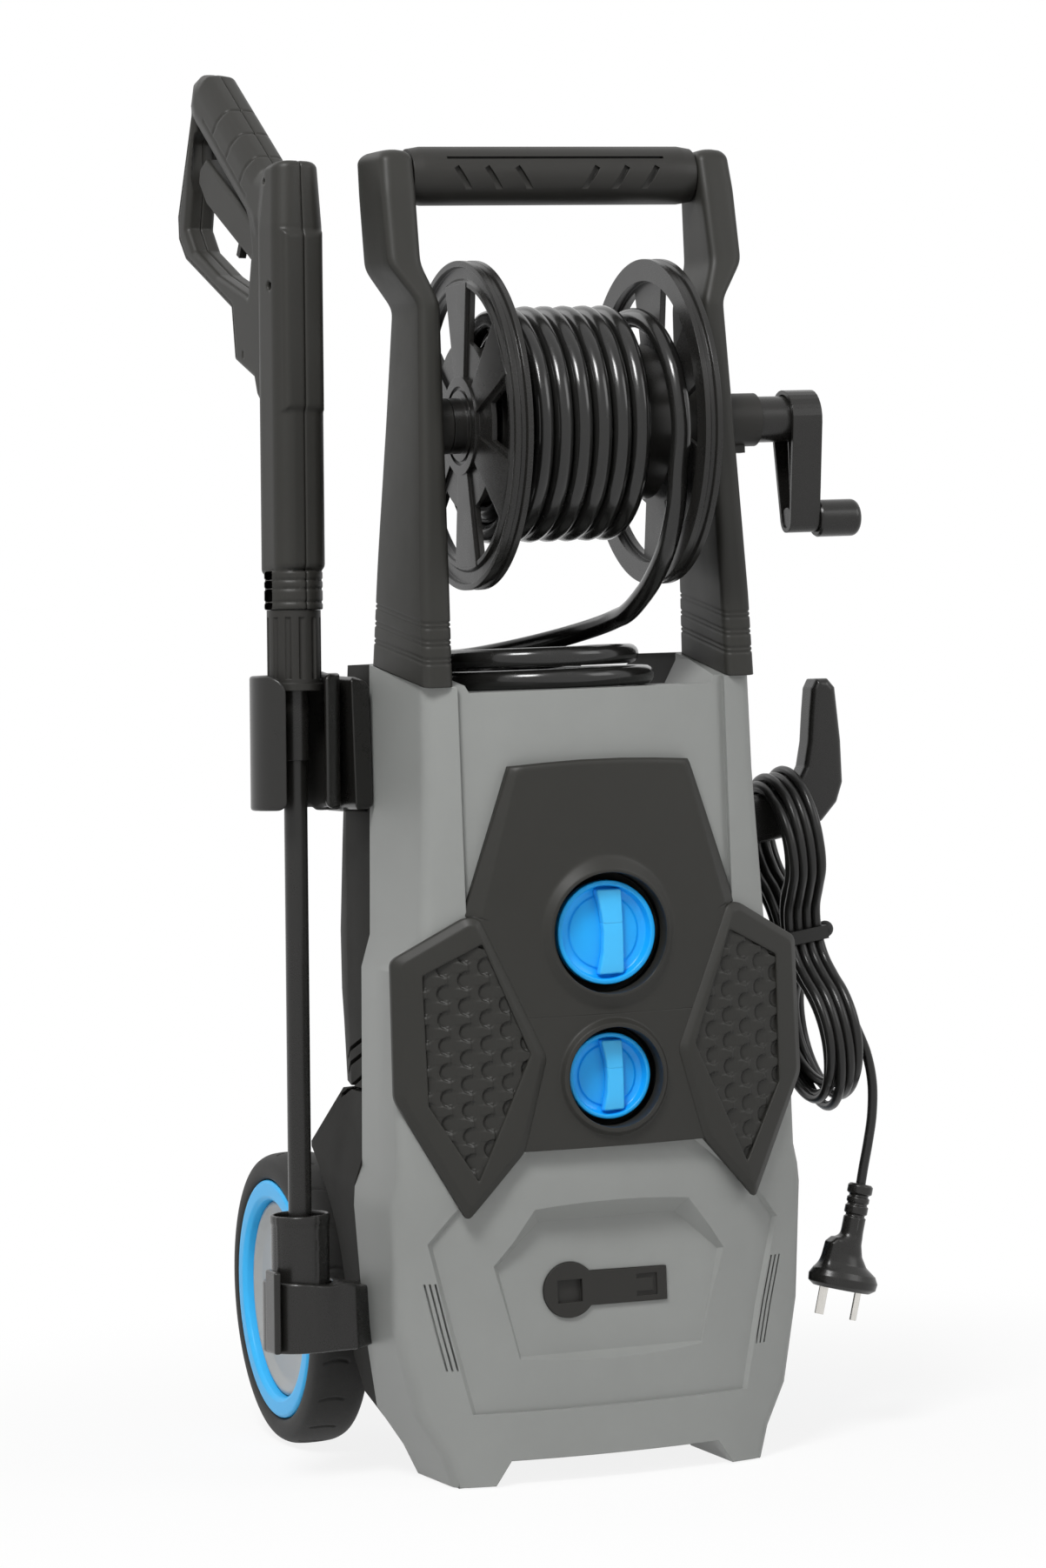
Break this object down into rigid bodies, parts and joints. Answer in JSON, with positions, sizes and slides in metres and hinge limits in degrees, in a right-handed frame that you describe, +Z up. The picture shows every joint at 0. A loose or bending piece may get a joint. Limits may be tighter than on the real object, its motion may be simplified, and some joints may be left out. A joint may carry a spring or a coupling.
{
  "type": "pressure washer",
  "caption": "Upright electric pressure washer on wheels, with a bowed grey housing, two blue knobs, a hose reel with crank, a gun and lance in side holders and a cable hook.",
  "frame": {"origin": "on the ground, at the centre of the bounding box measured without the free hose and cable", "axes": "+X to the right of someone facing the control panel, +Y from the panel to the back, +Z up"},
  "size_m": [0.4556, 0.435, 0.9786],
  "materials": {
    "grey_plastic": "mid-grey moulded housing, fine satin grain",
    "black_plastic": "charcoal moulded plastic, matte",
    "blue_plastic": "sky-blue, semi-gloss",
    "hose_rubber": "smooth black high-pressure hose, glossy",
    "cable_rubber": "black cable sheath, satin",
    "tyre": "black tyre, matte",
    "soft_rubber": "black, matte",
    "steel": "bright steel",
    "brass": "turned brass",
    "pin_metal": "nickel-plated brass",
    "cast_metal": "die-cast aluminium, matte",
    "hub_grey": "light grey moulded disc"
  },
  "bodies": {
    "base": {"front_housing": "grey_plastic", "rear_housing": "black_plastic", "control_panel": "black_plastic", "panel_wings": "black_plastic", "grille_plates": "black_plastic", "recess_insert": "black_plastic", "upright_left": "black_plastic", "upright_right": "black_plastic", "grip_bar": "black_plastic", "reel_bushes": "black_plastic", "lance_clip": "black_plastic", "lance_cup": "black_plastic", "cup_band": "black_plastic", "cable_hook": "black_plastic", "cable_gland": "black_plastic", "foot_pads": "soft_rubber", "motor": "cast_metal", "pump": "cast_metal", "inlet_connector": "brass", "outlet_connector": "brass", "stop_switch": "black_plastic", "power_switch": "black_plastic", "capacitor": "grey_plastic", "detergent_tank": "grey_plastic", "axle": "steel", "hose_tail": "hose_rubber", "hose_coil": "hose_rubber", "hose_coupling": "black_plastic", "power_cord": "cable_rubber", "cord_hank": "cable_rubber", "cord_tie": "soft_rubber", "plug_body": "cable_rubber", "plug_pins": "pin_metal"},
    "reel": {"reel_drum": "black_plastic", "reel_shaft": "steel", "flange_left": "black_plastic", "flange_right": "black_plastic", "crank_arm": "black_plastic", "crank_pin": "steel", "hose_winding": "hose_rubber"},
    "crank_handle": {"crank_grip": "black_plastic"},
    "wheel_left": {"tyre_left": "tyre", "rim_left": "blue_plastic", "hub_left": "hub_grey"},
    "wheel_right": {"tyre_right": "tyre", "rim_right": "blue_plastic", "hub_right": "hub_grey"},
    "power_dial": {"power_knob": "blue_plastic"},
    "detergent_dial": {"detergent_knob": "blue_plastic"},
    "gun": {"gun_shell_left": "black_plastic", "gun_shell_right": "black_plastic", "gun_valve": "brass", "lance_tube": "black_plastic", "nozzle": "black_plastic"},
    "collar": {"lance_collar": "black_plastic"},
    "trigger_lever": {"trigger": "black_plastic"},
    "trigger_catch": {"trigger_lock": "black_plastic"},
    "fan": {"motor_fan": "black_plastic"},
    "tank_cap": {"detergent_cap": "black_plastic"}
  },
  "joints": [
    {"name": "reel_spin", "type": "hinge", "parent": "base", "child": "reel", "pos_m": [0, -0.1055, 0.7215], "axis": [1, 0, 0], "continuous": true},
    {"name": "crank_grip_spin", "type": "hinge", "parent": "reel", "child": "crank_handle", "pos_m": [0.2, -0.1055, 0.6515], "axis": [1, 0, 0], "continuous": true},
    {"name": "wheel_left_spin", "type": "hinge", "parent": "base", "child": "wheel_left", "pos_m": [-0.135, 0.1125, 0.105], "axis": [1, 0, 0], "continuous": true},
    {"name": "wheel_right_spin", "type": "hinge", "parent": "base", "child": "wheel_right", "pos_m": [0.135, 0.1125, 0.105], "axis": [1, 0, 0], "continuous": true},
    {"name": "power_knob_turn", "type": "hinge", "parent": "base", "child": "power_dial", "pos_m": [0, -0.15, 0.374], "axis": [0, 1, 0], "range_deg": [0, 90]},
    {"name": "detergent_knob_turn", "type": "hinge", "parent": "base", "child": "detergent_dial", "pos_m": [0, -0.15, 0.276], "axis": [0, 1, 0], "range_deg": [0, 270]},
    {"name": "gun_lift", "type": "slide", "parent": "base", "child": "gun", "axis": [0.0297, 0, 0.9996], "range_m": [0, 0.52]},
    {"name": "collar_turn", "type": "hinge", "parent": "gun", "child": "collar", "pos_m": [-0.18341, -0.058, 0.56983], "axis": [0.0297, 0, 0.9996], "range_deg": [0, 90]},
    {"name": "trigger_pull", "type": "hinge", "parent": "gun", "child": "trigger_lever", "pos_m": [-0.18115, -0.02452, 0.84489], "axis": [0.9844, 0.1736, -0.0292], "range_deg": [0, 9], "stiffness_Nm_per_rad": 3, "springref_deg": -5.73},
    {"name": "trigger_lock_turn", "type": "hinge", "parent": "trigger_lever", "child": "trigger_catch", "pos_m": [-0.18608, 0.007, 0.86604], "axis": [-0.9844, -0.1736, 0.0292], "range_deg": [0, 35]},
    {"name": "fan_spin", "type": "hinge", "parent": "base", "child": "fan", "pos_m": [0, -0.02, 0.35], "axis": [0, 0, 1], "continuous": true},
    {"name": "detergent_cap_turn", "type": "hinge", "parent": "base", "child": "tank_cap", "pos_m": [0, 0.12, 0.44], "axis": [0, 1, 0], "range_deg": [0, 90]}
  ]
}
